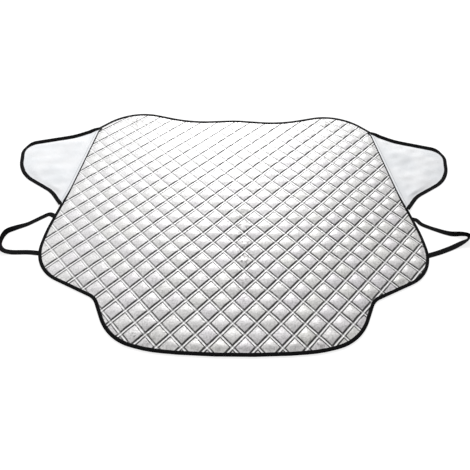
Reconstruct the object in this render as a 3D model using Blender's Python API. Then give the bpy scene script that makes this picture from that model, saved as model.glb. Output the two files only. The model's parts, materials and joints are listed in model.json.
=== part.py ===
"""A windscreen cover for a car: a quilted panel bound in tape, with a door flap and a strap at each side.

It lies flat on the floor, silver side up. X runs across the car, +Y points to the roof edge and Z is up.
The origin is on the floor, at the middle of the outline's box. Everything is in metres.
"""

import math

import bmesh
import bpy
import numpy as np
from mathutils import Matrix, Vector

# Corners of the panel's outline, right half, from the lower hem up: across, up, and the rounding radius.
PANEL_CORNERS = (
    (0.120, 0.000, 1.500),  # the lower hem starts to rise
    (0.275, 0.012, 0.500),
    (0.412, 0.048, 0.185),  # lower corner, over the bonnet
    (0.486, 0.192, 0.060),  # neck above the wipers
    (0.735, 0.305, 0.170),  # widest corner
    (0.735, 0.474, 0.600),
    (0.708, 0.655, 0.600),  # foot of the door flap
    (0.668, 1.099, 0.040),  # head of the door flap
    (0.528, 1.2425, 0.240),  # roof corner
    (0.220, 1.156, 0.550),  # dip of the roof edge
)
ROOF_RISE = 0.0176  # how far the middle of the roof edge stands above the dips
ROOF_ROUND = 0.400  # radius that rounds it

# Corners of a door flap's free edge, from its head round the tip to its foot: how far each lies outside the
# panel's edge at its own height, how far up it is, and the radius that rounds it.
FLAP_HEAD = (-0.0082, 1.1007)
FLAP_CORNERS = (
    (0.0913, 1.036, 0.250),
    (0.3145, 0.971, 0.072),  # tip
    (0.2502, 0.779, 0.205),
    (0.0717, 0.674, 0.150),
)
FLAP_FOOT = (0.0026, 0.602)

ARC_STEP = math.radians(12)  # turn between two points of a rounded corner
LONGEST_EDGE = 0.100

# Sewn edge of the panel, and the tape folded round it.
HEM_LOW, HEM_HIGH = 0.0009, 0.0029
TAPE_THICKNESS = 0.0006
TAPE_WIDTH = 0.011
TAPE_ROUND = 0.0010
PINCH_WIDTH = 0.020  # from the tape's inner edge to where the quilting has its full height

# Quilting: two needle lines side by side, in two directions at a right angle.
STITCH_PITCH = 0.0573
NEEDLE_GAP = 0.0080
STITCH_HEIGHT = 0.0024
PUFF_SLOPE = 0.0130  # how far in from its stitches a puff has risen
PUFF_RISE = 0.0036
QUILT_CROSSING = (-0.0069, 0.5976)  # one crossing of the needle lines

# Door flaps: thin cloth with a wider tape, its inner hem lapped over the panel's own tape.
CLOTH_THICKNESS = 0.0006
FLAP_TAPE_THICKNESS = 0.0005
FLAP_TAPE_WIDTH = 0.016
FLAP_LONGEST_EDGE = 0.040
FLAP_HEM_INSET = 0.020  # how far the inner hem stops short of the flap's foot and head
FLAP_LAP = 0.0090  # how far the inner hem lies inside the panel's edge: a sliver of its tape still shows
FOOT_LAP = 0.0050
LAP_GROWTH = 0.080  # height over which the lap grows from the foot's to its full width
LAP_CLEARANCE = 0.0008
RAMP_START, RAMP_END = 0.0020, 0.0250  # from the panel's edge, where the flap comes down to the floor
FLAP_FOLDS = (  # distance from the panel's edge, and least and greatest share of the way to the hem
    (RAMP_END, 0.33, 0.78),
    (RAMP_START, 0.67, 0.89),
)

# Mirror straps: flat webbing, its ends sewn under the panel's hem.
STRAP_WIDTH = 0.020
STRAP_THICKNESS = 0.0012
STRAP_TUCK = 0.014  # length of strap under the hem
STRAP_SPAN_STEPS = 2  # least number of steps from one point of a route to the next
STRAP_TURN_STEP = 3  # most degrees that it turns in a step, so that its two sides stay apart
# A route is how far outside the panel's edge, how far up, and the turn about the strap's length in degrees.
LEFT_STRAP_ROUTE = (
    (0.0003, 0.550, 0),
    (0.0215, 0.558, 0),
    (0.0397, 0.546, 0),
    (0.0810, 0.510, 0),
    (0.1211, 0.485, 25),
    (0.1435, 0.463, 65),
    (0.1483, 0.433, 80),
    (0.1451, 0.405, 65),
    (0.1296, 0.383, 25),
    (0.0954, 0.376, 0),
    (0.0393, 0.377, 0),
    (0.0031, 0.374, 0),
)
RIGHT_STRAP_ROUTE = (
    (-0.0020, 0.558, 0),
    (0.0118, 0.553, 0),
    (0.0237, 0.532, 0),
    (0.0571, 0.512, 0),
    (0.1142, 0.486, 20),
    (0.1588, 0.481, 65),
    (0.1804, 0.475, 85),
    (0.1733, 0.460, 65),
    (0.1399, 0.441, 20),
    (0.0960, 0.420, 0),
    (0.0467, 0.400, 0),
    (0.0029, 0.385, 0),
)

GAP = 0.0003  # between pieces that touch
CUT_PAST = 0.010  # how far a cutter runs past what it cuts
CROSSING_STEPS = 200
AREA_TOLERANCE = 0.001
TAPE_HEIGHT = HEM_HIGH + GAP + TAPE_THICKNESS
PUFF_TOP = STITCH_HEIGHT + PUFF_RISE
FLAP_LIFT = TAPE_HEIGHT + LAP_CLEARANCE


# Outlines

def rounded(corners, closed=True):
    """The line through these corners, each one rounded by its own radius."""
    points = []
    for index, (x, y, radius) in enumerate(corners):
        corner = Vector((x, y))
        before = Vector(corners[index - 1][:2]) - corner
        after = Vector(corners[(index + 1) % len(corners)][:2]) - corner
        if not closed and index in (0, len(corners) - 1):
            points.append(corner)
            continue
        before.normalize()
        after.normalize()
        turn = math.pi - before.angle(after)
        centre = corner + (before + after).normalized() * radius / math.cos(turn / 2)
        start = corner + before * radius * math.tan(turn / 2) - centre
        side = -math.copysign(1, before.cross(after))
        steps = max(1, round(turn / ARC_STEP))
        for step in range(steps + 1):
            arm = start.copy()
            arm.rotate(Matrix.Rotation(side * turn * step / steps, 2))
            points.append(centre + arm)
    return points


def split(points, closed=True, longest=LONGEST_EDGE):
    """The same line with no edge longer than this."""
    after = points[1:] + (points[:1] if closed else [])
    dense = []
    for here, there in zip(points, after):
        pieces = math.ceil((there - here).length / longest)
        dense += [here.lerp(there, piece / pieces) for piece in range(pieces)]
    return dense if closed else dense + [points[-1]]


def normals(points, closed=True):
    """At each point, the way to the line's left, long enough to keep an inset line parallel."""
    last = len(points) - 1
    found = []
    for index, here in enumerate(points):
        arriving = here - points[index - 1] if closed or index > 0 else points[1] - here
        leaving = points[(index + 1) % len(points)] - here if closed or index < last else arriving
        arriving, leaving = arriving.normalized(), leaving.normalized()
        along = (arriving + leaving).normalized()
        found.append(Vector((-along.y, along.x)) / along.dot(arriving))
    return found


def inset(points, distance, closed=True):
    return [p + n * distance for p, n in zip(points, normals(points, closed))]


def panel_outline():
    """The outer edge of the panel's tape, anticlockwise from the lower hem's right side."""
    left = [(-x, y, radius) for x, y, radius in reversed(PANEL_CORNERS)]
    dip_height = PANEL_CORNERS[-1][1]
    return split(rounded([*PANEL_CORNERS, (0, dip_height + ROOF_RISE, ROOF_ROUND), *left]))


def edge_across(up, outline):
    """How far the panel's right edge lies from the middle line, at this height."""
    right = [point for point in outline if point.x > 0]
    roof = max(range(len(right)), key=lambda index: right[index].y)
    side = right[: roof + 1]
    return float(np.interp(up, [point.y for point in side], [point.x for point in side]))


def beyond_edge(reach, up, outline):
    """The point at this height that lies this far outside the panel's right edge."""
    return Vector((edge_across(up, outline) + reach, up))


def outward_distance(point, outline):
    """How far a point lies outside a closed anticlockwise outline, and less than nothing inside it."""
    starts = np.array([tuple(p) for p in outline])
    ends = np.roll(starts, -1, axis=0)
    edges, arm = ends - starts, np.array(point) - starts
    along = np.clip((arm * edges).sum(axis=1) / (edges**2).sum(axis=1), 0, 1)
    distance = np.hypot(*(arm - along[:, None] * edges).T).min()
    crossed = (starts[:, 1] > point[1]) != (ends[:, 1] > point[1])
    with_height = np.where(crossed, edges[:, 1], 1)
    meets = starts[:, 0] + (point[1] - starts[:, 1]) * edges[:, 0] / with_height
    inside = np.count_nonzero(crossed & (meets > point[0])) % 2 == 1
    return -distance if inside else distance


# Blender helpers

def material(name, colour, roughness, metallic=0.0):
    made = bpy.data.materials.new(name)
    made.use_nodes = True
    shader = made.node_tree.nodes["Principled BSDF"]
    shader.inputs["Base Color"].default_value = (*colour, 1)
    shader.inputs["Roughness"].default_value = roughness
    shader.inputs["Metallic"].default_value = metallic
    return made


def mesh_object(name, mesh, collection):
    made = bpy.data.objects.new(name, mesh)
    collection.objects.link(made)
    return made


def line_object(name, points, closed, dimensions, collection):
    """A curve object of straight pieces through 2D or 3D points."""
    curve = bpy.data.curves.new(name, "CURVE")
    curve.dimensions = dimensions
    spline = curve.splines.new("POLY")
    spline.points.add(len(points) - 1)
    for control, point in zip(spline.points, points):
        control.co = (*Vector(point).to_3d(), 1)
    spline.use_cyclic_u = closed
    return mesh_object(name, curve, collection)


def as_mesh(line):
    """Turns a curve object into a closed mesh object, in the same collection."""
    evaluated = line.evaluated_get(bpy.context.evaluated_depsgraph_get())
    mesh = bpy.data.meshes.new_from_object(evaluated)
    shape = bmesh.new()
    shape.from_mesh(mesh)
    bmesh.ops.remove_doubles(shape, verts=shape.verts, dist=1e-6)
    shape.to_mesh(mesh)
    shape.free()
    name, collection = line.name, line.users_collection[0]
    bpy.data.objects.remove(line)
    return mesh_object(name, mesh, collection)


def swept(name, path, profile, collection, closed=True, tilts=None):
    """A profile of (in from the path's left side, up) points, swept along the path, as a mesh object."""
    points = [(-across, up) for across, up in profile]
    section = line_object(name + "_section", points, True, "2D", collection)
    line = line_object(name, path, closed, "3D", collection)
    line.data.twist_mode = "Z_UP"
    line.data.bevel_mode = "OBJECT"
    line.data.bevel_object = section
    line.data.use_fill_caps = True
    for control, tilt in zip(line.data.splines[0].points, tilts or []):
        control.tilt = tilt
    made = as_mesh(line)
    bpy.data.objects.remove(section)
    return made


def block(name, outline, low, high, collection):
    """A flat-topped solid on a closed outline."""
    line = line_object(name, outline, True, "2D", collection)
    line.data.fill_mode = "BOTH"
    line.data.extrude = (high - low) / 2
    made = as_mesh(line)
    made.data.transform(Matrix.Translation((0, 0, (low + high) / 2)))
    return made


def lofted(name, sections, collection):
    """A solid through closed sections that have as many points each."""
    shape = bmesh.new()
    rows = [[shape.verts.new(point) for point in section] for section in sections]
    for row, beside in zip(rows, rows[1:]):
        for index in range(len(row)):
            shape.faces.new((row[index - 1], row[index], beside[index], beside[index - 1]))
    shape.faces.new(rows[0])
    shape.faces.new(rows[-1])
    bmesh.ops.recalc_face_normals(shape, faces=shape.faces)
    mesh = bpy.data.meshes.new(name)
    shape.to_mesh(mesh)
    shape.free()
    return mesh_object(name, mesh, collection)


def boolean(target, cutter, operation):
    cutter.hide_render = True
    cutter.display_type = "WIRE"
    modifier = target.modifiers.new(cutter.name, "BOOLEAN")
    modifier.operation = operation
    modifier.solver = "EXACT"
    modifier.object = cutter


# Quilted panel

def quilt_slab(outline, collection):
    """A flat-bottomed slab of diamonds, larger than the panel, that rise between the needle lines."""
    reach = max((point - Vector(QUILT_CROSSING)).length for point in outline)
    lines_beside = math.ceil(reach / STITCH_PITCH) + 1
    segments = 4 * lines_beside + 1
    shape = bmesh.new()
    bmesh.ops.create_grid(shape, x_segments=segments, y_segments=segments, size=1)
    for vertex in shape.verts:
        for axis in range(2):
            line, side = divmod(round((vertex.co[axis] + 1) / 2 * segments), 2)
            vertex.co[axis] = (line - lines_beside) * STITCH_PITCH + (side - 0.5) * NEEDLE_GAP
        vertex.co.z = STITCH_HEIGHT
    rim = [edge for edge in shape.edges if edge.is_boundary]
    cell_area = (STITCH_PITCH - NEEDLE_GAP) ** 2
    cells = [f for f in shape.faces if math.isclose(f.calc_area(), cell_area, rel_tol=AREA_TOLERANCE)]
    bmesh.ops.inset_individual(shape, faces=cells, thickness=PUFF_SLOPE, depth=PUFF_RISE)
    skirt = bmesh.ops.extrude_edge_only(shape, edges=rim)["geom"]
    for vertex in [item for item in skirt if isinstance(item, bmesh.types.BMVert)]:
        vertex.co.z = -CUT_PAST
    floor_edges = [edge for edge in shape.edges if edge.is_boundary]
    bmesh.ops.edgeloop_fill(shape, edges=floor_edges)
    bmesh.ops.recalc_face_normals(shape, faces=shape.faces)
    turn = Matrix.Rotation(math.radians(45), 4, "Z")
    shape.transform(Matrix.Translation((*QUILT_CROSSING, 0)) @ turn)
    mesh = bpy.data.meshes.new("quilted_panel")
    shape.to_mesh(mesh)
    shape.free()
    return mesh_object("quilted_panel", mesh, collection)


def quilt_envelope(outline, collection):
    """The room for the quilting: flat below, pinched to a thin hem at the edge and sloping up from it."""
    edge = TAPE_THICKNESS + GAP
    lap = TAPE_WIDTH + GAP
    top = PUFF_TOP + GAP
    slope = PINCH_WIDTH * (top - HEM_HIGH) / (PUFF_TOP - HEM_HIGH)
    rings = (
        (lap + HEM_LOW, 0),
        (lap, HEM_LOW),
        (edge, HEM_LOW),
        (edge, HEM_HIGH),
        (lap, HEM_HIGH),
        (lap + slope, top),
    )
    sections = [[(*point, up) for point in inset(outline, reach)] for reach, up in rings]
    return lofted("cut_quilt_envelope", sections, collection)


def tape_profile(width, height, thickness):
    """A tape folded to a U, open on its inner side."""
    return (
        (width, 0),
        (width, thickness),
        (thickness, thickness),
        (thickness, height - thickness),
        (width, height - thickness),
        (width, height),
        (TAPE_ROUND, height),
        (0, height - TAPE_ROUND),
        (0, TAPE_ROUND),
        (TAPE_ROUND, 0),
    )


# Door flap

def flap_lift(point, outline):
    """How high the flap's underside lies: on the panel's tape, or down on the floor beyond it."""
    share = (RAMP_END - outward_distance(point, outline)) / (RAMP_END - RAMP_START)
    return FLAP_LIFT * min(1, max(0, share))


def flap_hem(shares, outline):
    """Points on the right flap's inner hem, at these shares of the way from its foot to its head."""
    foot, head = FLAP_FOOT[1] + FLAP_HEM_INSET, FLAP_HEAD[1] - FLAP_HEM_INSET
    points = []
    for share in shares:
        up = foot + share * (head - foot)
        grown = min(1, (up - foot) / LAP_GROWTH)
        points.append(beyond_edge(-FOOT_LAP - grown * (FLAP_LAP - FOOT_LAP), up, outline))
    return points


def flap_columns(outline):
    """For each point of the right flap's free edge: the point, its inward normal, hem point and lift."""
    foot, head = (beyond_edge(*end, outline) for end in (FLAP_FOOT, FLAP_HEAD))
    between = [(*beyond_edge(reach, up, outline), radius) for reach, up, radius in reversed(FLAP_CORNERS)]
    line = rounded([(*foot, 0), *between, (*head, 0)], closed=False)
    edge = split(line, closed=False, longest=FLAP_LONGEST_EDGE)
    inward = normals(edge, closed=False)
    run = np.cumsum([0] + [(b - a).length for a, b in zip(edge, edge[1:])])
    hem = flap_hem(run / run[-1], outline)
    lifts = [
        max(flap_lift(p, outline), flap_lift(p + n * FLAP_TAPE_WIDTH, outline))
        for p, n in zip(edge, inward)
    ]
    return list(zip(edge, inward, hem, lifts))


def flap_binding(name, columns, collection):
    """The tape folded round the flap's free edge, rising with it where it laps over the panel."""
    height = CLOTH_THICKNESS + 2 * (FLAP_TAPE_THICKNESS + GAP)
    profile = tape_profile(FLAP_TAPE_WIDTH, height, FLAP_TAPE_THICKNESS)
    sections = [
        [(*(point + inward * across), lift + up) for across, up in profile]
        for point, inward, _, lift in columns
    ]
    return lofted(name, sections, collection)


def door_flap(name, columns, outline, collection):
    """The thin cloth: inside its tape, over the floor, up the ramp beside the panel and along the hem."""
    above_tape = FLAP_TAPE_THICKNESS + GAP
    sections = []
    for point, inward, hem, lift in columns:
        tucked = point + inward * above_tape
        free = point + inward * (FLAP_TAPE_WIDTH + GAP)
        row = [(*tucked, lift), (*free, lift)]
        for reach, least, greatest in FLAP_FOLDS:
            share = crossing(free, hem, reach, outline)
            fold = free.lerp(hem, min(max(share, least), greatest))
            row.append((*fold, flap_lift(fold, outline)))
        row.append((*hem, flap_lift(hem, outline)))
        under = [Vector(place) + Vector((0, 0, above_tape)) for place in row]
        over = [place + Vector((0, 0, CLOTH_THICKNESS)) for place in reversed(under)]
        sections.append(under + over)
    return lofted(name, sections, collection)


def crossing(start, end, reach, outline):
    """The share of the way from start to end at which a point lies reach outside the outline."""
    shares = np.linspace(0, 1, CROSSING_STEPS)
    distances = [outward_distance(start.lerp(end, share), outline) for share in shares]
    return float(np.interp(-reach, [-d for d in distances], shares))


def mirrored(name, source, collection):
    """The same solid on the other side of the middle line."""
    mesh = source.data.copy()
    mesh.transform(Matrix.Scale(-1, 4, (1, 0, 0)))
    mesh.flip_normals()
    return mesh_object(name, mesh, collection)


# Mirror straps

def smoothed(controls, counts):
    """A smooth line through control points of any dimension, with these numbers of steps between them."""
    ends = [2 * controls[0] - controls[1], *controls, 2 * controls[-1] - controls[-2]]
    line = []
    for before, here, there, after, count in zip(ends, ends[1:], ends[2:], ends[3:], counts):
        for step in range(count):
            t = step / count
            leaving, arriving = (there - before) / 2, (after - here) / 2
            line.append(
                here * (2 * t**3 - 3 * t**2 + 1)
                + leaving * (t**3 - 2 * t**2 + t)
                + there * (3 * t**2 - 2 * t**3)
                + arriving * (t**3 - t**2)
            )
    return [*line, controls[-1]]


def strap_route(reaches, side, outline):
    """The strap's route as (across, up, turn), at the left for a side of -1 and at the right for 1."""
    return [(side * (edge_across(up, outline) + reach), up, turn) for reach, up, turn in reaches]


def tucks(route):
    """The two ends of a strap under the hem, each straight back from where the strap comes out."""
    first, second, before_last, last = (Vector(route[index][:2]) for index in (0, 1, -2, -1))
    return (
        first + (first - second).normalized() * STRAP_TUCK,
        last + (last - before_last).normalized() * STRAP_TUCK,
    )


def mirror_strap(name, route, collection):
    start, end = tucks(route)
    places = [np.array(place) for place in ((*start, 0), *route, (*end, 0))]
    spans = [abs(there[2] - here[2]) for here, there in zip(places, places[1:])]
    line = smoothed(places, [max(STRAP_SPAN_STEPS, math.ceil(span / STRAP_TURN_STEP)) for span in spans])
    turns = [math.radians(turn) for _, _, turn in line]
    path = [
        (x, y, (STRAP_WIDTH * abs(math.sin(turn)) + STRAP_THICKNESS * abs(math.cos(turn))) / 2)
        for (x, y, _), turn in zip(line, turns)
    ]
    across, up = STRAP_WIDTH / 2, STRAP_THICKNESS / 2
    section = ((-across, -up), (across, -up), (across, up), (-across, up))
    return swept(name, path, section, collection, closed=False, tilts=turns)


def strap_recess(name, end, edge, collection):
    """Room for one strap end, from just past its tucked end to outside the hem."""
    along = (Vector(edge[:2]) - end).normalized()
    across = Vector((-along.y, along.x)) * (STRAP_WIDTH / 2 + GAP)
    inner, outer = end - along * GAP, end + along * (STRAP_TUCK + CUT_PAST)
    corners = [inner - across, outer - across, outer + across, inner + across]
    return block(name, corners, -CUT_PAST, STRAP_THICKNESS + GAP, collection)


# Assembly

def new_collection(name):
    made = bpy.data.collections.new(name)
    bpy.context.scene.collection.children.link(made)
    return made


def main():
    for leftover in list(bpy.data.objects):
        bpy.data.objects.remove(leftover)
    cover, cutters = new_collection("windscreen_cover"), new_collection("cutters")
    outline = panel_outline()

    panel = quilt_slab(outline, cover)
    boolean(panel, quilt_envelope(outline, cutters), "INTERSECT")
    binding = swept("panel_binding", outline, tape_profile(TAPE_WIDTH, TAPE_HEIGHT, TAPE_THICKNESS), cover)

    straps = []
    for side, sign, reaches in (("left", -1, LEFT_STRAP_ROUTE), ("right", 1, RIGHT_STRAP_ROUTE)):
        route = strap_route(reaches, sign, outline)
        straps.append(mirror_strap(side + "_mirror_strap", route, cover))
        for place, end, outside in zip(("upper", "lower"), tucks(route), (route[0], route[-1])):
            recess = strap_recess(f"cut_{side}_{place}_strap", end, outside, cutters)
            boolean(panel, recess, "DIFFERENCE")
            boolean(binding, recess, "DIFFERENCE")

    columns = flap_columns(outline)
    flap = door_flap("right_door_flap", columns, outline, cover)
    flap_tape = flap_binding("right_flap_binding", columns, cover)
    flaps = [flap, mirrored("left_door_flap", flap, cover)]
    flap_tapes = [flap_tape, mirrored("left_flap_binding", flap_tape, cover)]

    finishes = (
        (material("silver_film", (0.72, 0.72, 0.73), 0.32, metallic=0.6), [panel]),
        (material("black_tape", (0.012, 0.012, 0.013), 0.75), [binding, *flap_tapes]),
        (material("black_webbing", (0.012, 0.012, 0.013), 0.7), straps),
        (material("pale_cloth", (0.78, 0.81, 0.85), 0.5), flaps),
    )
    for finish, objects in finishes:
        for item in objects:
            item.data.materials.append(finish)

    origin = bpy.data.objects.new("origin", None)
    cover.objects.link(origin)
    origin.location.y = -max(point.y for point in outline) / 2
    for item in [*cover.objects, *cutters.objects]:
        if item is not origin:
            item.parent = origin


main()
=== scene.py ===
"""Looks of the windscreen cover: its quilting, bindings, flaps, straps and thread, and its studio."""

import json
import math

import bmesh
import bpy
import numpy as np
from mathutils import Matrix, Vector

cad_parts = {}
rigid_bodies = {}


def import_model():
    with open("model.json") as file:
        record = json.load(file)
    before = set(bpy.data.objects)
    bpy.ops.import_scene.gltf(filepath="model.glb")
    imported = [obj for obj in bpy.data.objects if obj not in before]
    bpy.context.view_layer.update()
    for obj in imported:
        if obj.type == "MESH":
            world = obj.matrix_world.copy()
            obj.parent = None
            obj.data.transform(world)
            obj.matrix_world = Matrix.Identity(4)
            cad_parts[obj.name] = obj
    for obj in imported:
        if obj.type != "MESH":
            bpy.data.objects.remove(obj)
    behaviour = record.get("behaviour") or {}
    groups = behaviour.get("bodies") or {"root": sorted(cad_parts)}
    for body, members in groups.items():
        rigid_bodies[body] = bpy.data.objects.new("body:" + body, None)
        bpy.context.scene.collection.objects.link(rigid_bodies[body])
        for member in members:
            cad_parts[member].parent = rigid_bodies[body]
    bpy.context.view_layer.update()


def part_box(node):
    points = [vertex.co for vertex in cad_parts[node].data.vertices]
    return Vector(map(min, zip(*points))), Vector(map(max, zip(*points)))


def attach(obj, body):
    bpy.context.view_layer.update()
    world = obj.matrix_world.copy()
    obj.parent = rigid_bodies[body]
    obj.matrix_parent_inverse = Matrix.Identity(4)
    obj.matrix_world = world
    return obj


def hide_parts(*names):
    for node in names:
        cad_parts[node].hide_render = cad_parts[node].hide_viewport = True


bl_info = {
    "name": "Windscreen Cover",
    "version": (1, 0, 0),
    "blender": (4, 5, 0),
    "location": "3D View > Sidebar > Windscreen Cover",
    "description": "Dresses the packed windscreen cover in quilting, tape, cloth, webbing and thread",
    "category": "Add Mesh",
}

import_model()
HALF_DEPTH = -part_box("panel_binding")[0].y  # from the lower hem to the origin

# The panel's outline, right half, from the lower hem up: across, up, and the radius that rounds each corner.
PANEL_CORNERS = (
    (0.120, 0.000, 1.500),
    (0.275, 0.012, 0.500),
    (0.412, 0.048, 0.185),
    (0.486, 0.192, 0.060),
    (0.735, 0.305, 0.170),
    (0.735, 0.474, 0.600),
    (0.708, 0.655, 0.600),
    (0.668, 1.099, 0.040),
    (0.528, 1.2425, 0.240),
    (0.220, 1.156, 0.550),
)
ROOF_RISE, ROOF_ROUND = 0.0176, 0.400

# The right flap's free edge: how far outside the panel's edge, how far up, and the rounding radius.
FLAP_HEAD = (-0.0082, 1.1007)
FLAP_CORNERS = (
    (0.0913, 1.036, 0.250),
    (0.3145, 0.971, 0.072),
    (0.2502, 0.779, 0.205),
    (0.0717, 0.674, 0.150),
)
FLAP_FOOT = (0.0026, 0.602)

# Each strap's route: how far outside the panel's edge, how far up, and turn about its length in degrees.
STRAP_ROUTES = {
    "left": (
        (0.0003, 0.550, 0),
        (0.0215, 0.558, 0),
        (0.0397, 0.546, 0),
        (0.0810, 0.510, 0),
        (0.1211, 0.485, 25),
        (0.1435, 0.463, 65),
        (0.1483, 0.433, 80),
        (0.1451, 0.405, 65),
        (0.1296, 0.383, 25),
        (0.0954, 0.376, 0),
        (0.0393, 0.377, 0),
        (0.0031, 0.374, 0),
    ),
    "right": (
        (-0.0020, 0.558, 0),
        (0.0118, 0.553, 0),
        (0.0237, 0.532, 0),
        (0.0571, 0.512, 0),
        (0.1142, 0.486, 20),
        (0.1588, 0.481, 65),
        (0.1804, 0.475, 85),
        (0.1733, 0.460, 65),
        (0.1399, 0.441, 20),
        (0.0960, 0.420, 0),
        (0.0467, 0.400, 0),
        (0.0029, 0.385, 0),
    ),
}
SIDES = {"left": -1, "right": 1}

# Places where the film is crumpled: across, up, reach across, reach up, and strength.
CRUMPLES = (
    (0.032, 0.430, 0.028, 0.200, 1.0),
    (-0.470, 1.150, 0.075, 0.045, 1.0),
    (0.440, 1.165, 0.060, 0.035, 0.8),
    (-0.305, 0.055, 0.055, 0.030, 0.8),
    (0.265, 0.045, 0.050, 0.026, 0.7),
)

# How far the cloth's pull has moved the seams of each direction, in shares of a pitch: everywhere, and for
# each metre across and up. First the seams that fall to the right, then those that rise to the right.
SEAM_DRIFTS = ((-0.021, (-0.104, 0.034)), (0.112, (-0.154, 0.165)))

# The crossing of two seams that the lattice starts from: across, and up from the lower hem.
LATTICE_CROSSING = (-0.0069, 0.5976)
# How far the film wanders from the lattice and over which wavelength, and the seeds of that across and up.
WANDERS = ((0.0018, 0.30), (0.0006, 0.05))
WANDER_SEEDS = ((1, 2), (3, 4))

# How far into a diamond the painted shade of a needle line's crease is dark and where it has faded: at the
# diamond's lower edge, then at its upper one. First for the seams that fall to the right, then for those that
# rise to the right.
CREASES = (((0.0018, 0.0042), (0.0015, 0.0036)), ((0.0033, 0.0064), (0.0027, 0.0048)))
# What is left of a crease's painted shade where a seam of the other direction crosses it.
CROSSINGS = (0.15, 0.50)
# How deep the painted shade is at the seams of each direction, following how the light falls: everywhere, and
# for each metre across and up.
SHADE_FIELDS = ((0.62, 0.55, -0.95), (1.45, 0.25, -0.15))
# The faintest and the deepest painted shade
FAINTEST_SHADE, DEEPEST_SHADE = 0.15, 1.5
# How full the diamonds are: everywhere, and for each metre across and up.
FULLNESS = (1.00, 0.52, -0.55)

# A diamond's crown, which is round, and its step beside the needle line, which is sharp: power and share.
CROWN, STEP = (2.0, 0.74), (12.0, 0.26)
# What chance makes of each diamond: its least height, what is added to that at most, and how far it tilts.
LEAST_PUFF, ADDED_PUFF, TILT = 0.80, 0.35, 0.9
# How steeply a channel between two needles rises where another seam crosses it.
CHANNEL_OPENS = 8.0
# The noises of the quilting's relief: waves for each metre, and detail.
LIE_NOISE, PACKING_NOISE, DIMPLE_NOISE = (4.0, 1.0), (55.0, 2.0), (28.0, 2.0)
DIMPLE_RISE, LOWEST_FILM = 0.0018, 0.0014
QUILT_SEED, TINT_SEED = 7.0, 3.0

# Beside a seam: where its crease's painted shade starts, how far a crossing weakens it, the edge of the
# painted light on the pale channel, and how far the puckers reach.
CREASE_START, CROSSING_REACH, CHANNEL_EDGE = (-0.0020, -0.0006), (0.001, 0.007), (0.0008, 0.0026)
PUCKER_REACH, PUCKER_DEPTH = 0.012, 2.6

# How strongly each feature of the film changes its colour, and how fine its noises are, in waves a metre.
FILM_DEPTHS = {"dulled": 0.12, "patch": 0.06, "grain": 0.36, "streak": 0.24, "foot": 0.22, "channel": 0.75}
FILM_SCALES = {"shade_breaks": 55.0, "patch": 5.0, "grain": 180.0, "packing": 105.0}
PUCKER_SCALES, STREAK_SCALES = (18.0, 150.0), (170.0, 40.0)

ARC_STEP = math.radians(3)
NEEDLE_COLUMN = 11  # the point of a tape's section that its stitches follow
NEEDLE_INSET = 0.0022  # from a tape's inner edge to its stitches
TAPE_FOLD = 0.004  # as far in as this, a tape's fold keeps its shape
BROADER = {"panel": 0.20, "flap": 0.10}  # how much broader the tapes are on their far edges
CURL_FADE = 0.05  # how far from the flap's head its tape starts to curl
STITCH_SHARES = (0.34, 0.44)  # least and most of half a stitch, in shares of the step to the next
GAP = 0.0003
HEM_LOW, HEM_HIGH = 0.0009, 0.0029
RIM_FLAT = 0.012  # how far the backing's rim reaches in past the tape
RIM_MERGE = 2e-5  # points of the hem that are closer than this become one
CELL_SHARES = (0.03, 0.08, 0.16, 0.27, 0.38, 0.50, 0.62, 0.73, 0.84, 0.92, 0.97)

# The flap's inner hem: where its fold bends, in shares of its width from its edge, how far the cloth stands
# up at the bends in the middle, the bend that is sewn, and the steps across the cloth before it.
HEM_BENDS = (1.25, 1.0, 0.75, 0.35, 0.07, 0.0)
HEM_RISES = (0.0010, 0.0011, 0.0011, 0.0007)
HEM_SEWN, CLOTH_STEPS = 4, 25
# The painted shade along the flap hem's fold and edge
HEM_SHADE = (0.35, 0.37, 0.40)
FLAP_WAVES, WAVE_FADE = (0.16, 0.07), 0.05  # wavelengths, and how far from the tape and hem they fade

# Where a strap's end lifts the hem: how far beside it, how far behind its end, and how far along it at most.
LIFT_BESIDE, LIFT_BEHIND, LIFT_ALONG = (0.001, 0.006), (-0.006, -0.001), 0.06
STRAP_STEPS, RIB_POINTS = 9, 21

# The lamps: where they stand, what they point at, and how wide and tall they are.
KEY_LAMP = ((0.05, 7.0, 4.5), (0.0, 0.0, 0.0), 4.5, 2.4)
FILL_LAMP = ((-2.6, 0.2, 1.7), (-0.4, 0.1, 0.0), 1.6, 1.6)
# The floor: its reach, how far it lies below the cover, and where it fades into the white room.
FLOOR_REACH, FLOOR_DROP = 9.0, 0.0006
FLOOR_FADES = (1.7, 3.0)
CAMERA_PLACE = (-0.0187, -0.9415, 1.1324)
CAMERA_FORWARD, CAMERA_RIGHT = (0.01301, 0.57869, -0.81544), (0.99983, 0.00325, 0.01826)
PICTURE_WIDTH = 470


# Settings

def length(name, description, default):
    return bpy.props.FloatProperty(
        name=name, description=description, default=default, min=0, precision=4, unit="LENGTH"
    )


def colour(name, description, default):
    return bpy.props.FloatVectorProperty(
        name=name, description=description, default=default, size=3, min=0, max=1, subtype="COLOR"
    )


class QuiltSettings(bpy.types.PropertyGroup):
    """Sizes of the quilted panel."""

    pitch: length("Stitch Pitch", "From one double needle line to the next", 0.0573)
    needle_gap: length("Needle Gap", "Between the two lines of a double needle", 0.0080)
    seam_height: length("Seam Height", "Height of the film where a needle pulls it down", 0.0022)
    puff_rise: length("Puff Rise", "How far a diamond stands above its stitches", 0.0047)
    channel_rise: length("Channel Rise", "How far the film stands up between two needles", 0.0016)
    wave_rise: length("Wave Rise", "How far the panel undulates as it lies", 0.0016)
    crumple_rise: length("Crumple Rise", "Height of the creases from packing", 0.0042)
    pinch: length("Pinch Width", "From the tape's inner edge to the full height", 0.0200)
    film: colour("Film", "Aluminised film", (0.84, 0.84, 0.845))
    backing: colour("Backing", "Cloth on the underside", (0.30, 0.30, 0.31))


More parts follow.
